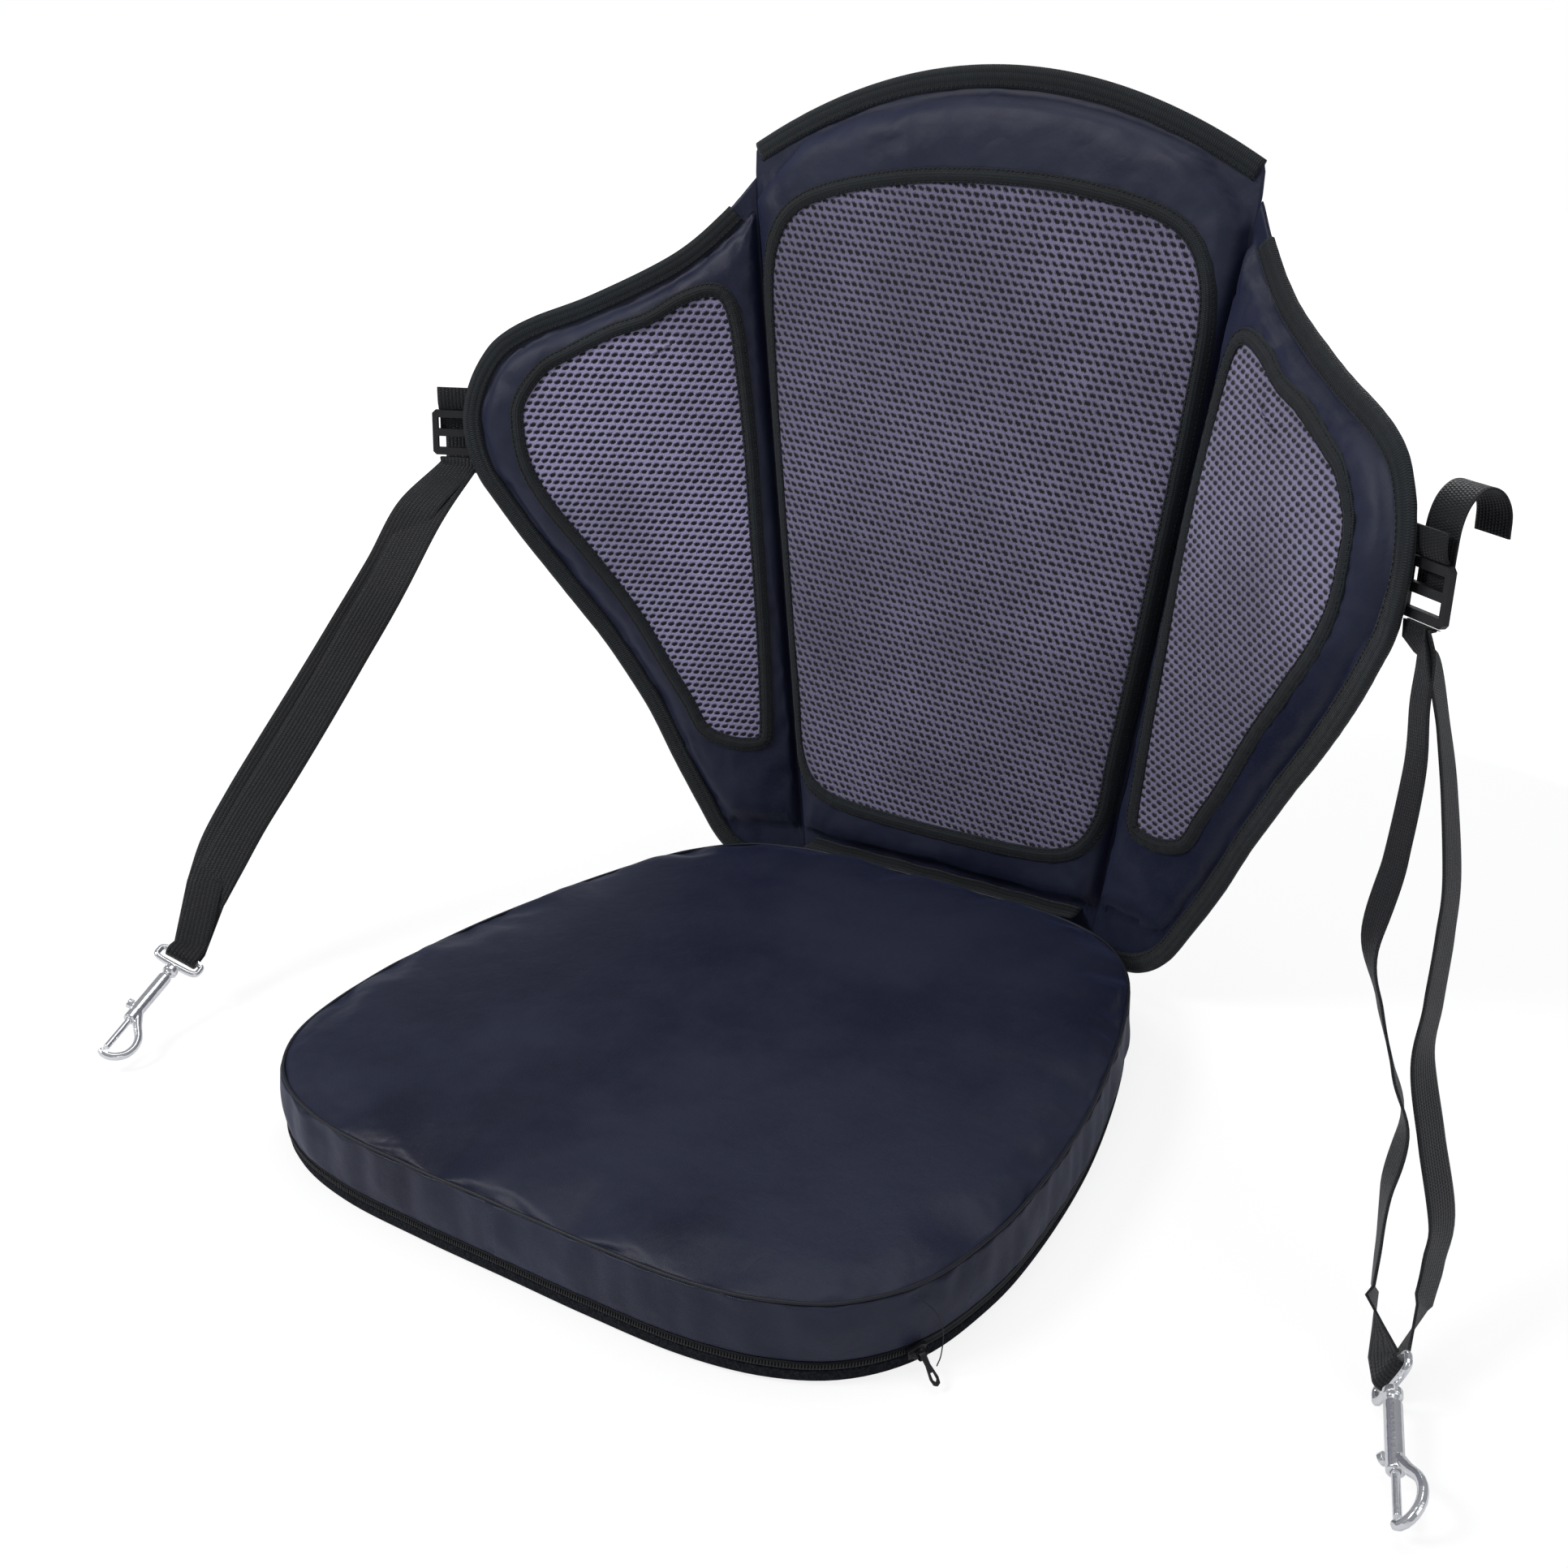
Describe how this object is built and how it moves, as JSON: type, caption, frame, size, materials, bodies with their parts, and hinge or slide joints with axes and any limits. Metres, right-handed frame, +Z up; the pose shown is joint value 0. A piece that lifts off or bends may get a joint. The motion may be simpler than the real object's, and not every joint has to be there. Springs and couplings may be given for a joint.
{
  "type": "kayak seat",
  "caption": "Padded sit-on-top kayak seat: zipped foam cushion, folding three-panel winged back with mesh windows, and webbing straps that end in swivel bolt-snap hooks.",
  "frame": {"origin": "middle of the cushion's flat underside, on the surface that the seat stands on", "axes": "+Z up, -Y the way the seat faces, +X towards the sitter's left"},
  "size_m": [0.7459, 0.4575, 0.5153],
  "materials": {
    "nylon": "coated woven nylon with a satin sheen",
    "foam": "closed-cell foam inside the covers",
    "mesh": "knitted spacer mesh with small round holes",
    "tape": "ribbed binding and zip tape, matt",
    "web": "ribbed woven webbing, low sheen",
    "base": "rough non-slip coated cloth, matt",
    "plastic": "moulded, fine matt",
    "metal": "bright nickel plating on die-cast metal"
  },
  "bodies": {
    "seat": {"seat_top_panel": "nylon", "seat_side_band": "nylon", "seat_base_panel": "base", "seat_foam": "foam", "zip_tape": "tape", "zip_chain": "plastic", "zip_slider": "metal", "hinge_cloth": "nylon", "hook_eye_left": "metal", "hook_eye_right": "metal", "strap_left": "web", "strap_right": "web"},
    "back": {"back_front_centre": "nylon", "back_mesh_centre": "mesh", "back_trim_centre": "tape", "back_foam_centre": "foam", "back_rear_centre": "nylon", "back_front_left": "nylon", "back_mesh_left": "mesh", "back_trim_left": "tape", "back_foam_left": "foam", "back_rear_left": "nylon", "back_front_right": "nylon", "back_mesh_right": "mesh", "back_trim_right": "tape", "back_foam_right": "foam", "back_rear_right": "nylon", "binding_left": "tape", "binding_right": "tape", "binding_top": "tape", "binding_bottom": "tape", "strap_tail_left": "web", "strap_anchor_left": "web", "strap_lock_left": "plastic", "strap_tail_right": "web", "strap_anchor_right": "web", "strap_lock_right": "plastic"},
    "hook_left": {"hook_body_left": "metal"},
    "hook_right": {"hook_body_right": "metal"},
    "bolt_left": {"hook_bolt_left": "metal"},
    "bolt_right": {"hook_bolt_right": "metal"},
    "zip_pull": {"zip_pull": "metal"}
  },
  "joints": [
    {"name": "back_fold", "type": "hinge", "parent": "seat", "child": "back", "pos_m": [0, 0.2085, 0.0475], "axis": [1, 0, 0], "range_deg": [-12, 45], "deforming": ["strap_left", "strap_right", "hinge_cloth"]},
    {"name": "hook_swivel_left", "type": "hinge", "parent": "seat", "child": "hook_left", "pos_m": [0.3632, -0.057, 0.0168], "axis": [0.3114, -0.945, -0.0998], "continuous": true},
    {"name": "bolt_slide_left", "type": "slide", "parent": "hook_left", "child": "bolt_left", "axis": [-0.3114, 0.945, 0.0998], "range_m": [0, 0.012], "stiffness_N_per_m": 300, "springref_m": -0.006},
    {"name": "hook_swivel_right", "type": "hinge", "parent": "seat", "child": "hook_right", "pos_m": [-0.3223, -0.1101, 0.0349], "axis": [0.2356, -0.9329, -0.2725], "continuous": true},
    {"name": "bolt_slide_right", "type": "slide", "parent": "hook_right", "child": "bolt_right", "axis": [-0.2356, 0.9329, 0.2725], "range_m": [0, 0.012], "stiffness_N_per_m": 300, "springref_m": -0.006},
    {"name": "pull_swing", "type": "hinge", "parent": "seat", "child": "zip_pull", "pos_m": [0.19304, -0.1516, 0.0103], "axis": [-0.4375, -0.8992, 0], "range_deg": [0, 115]}
  ]
}
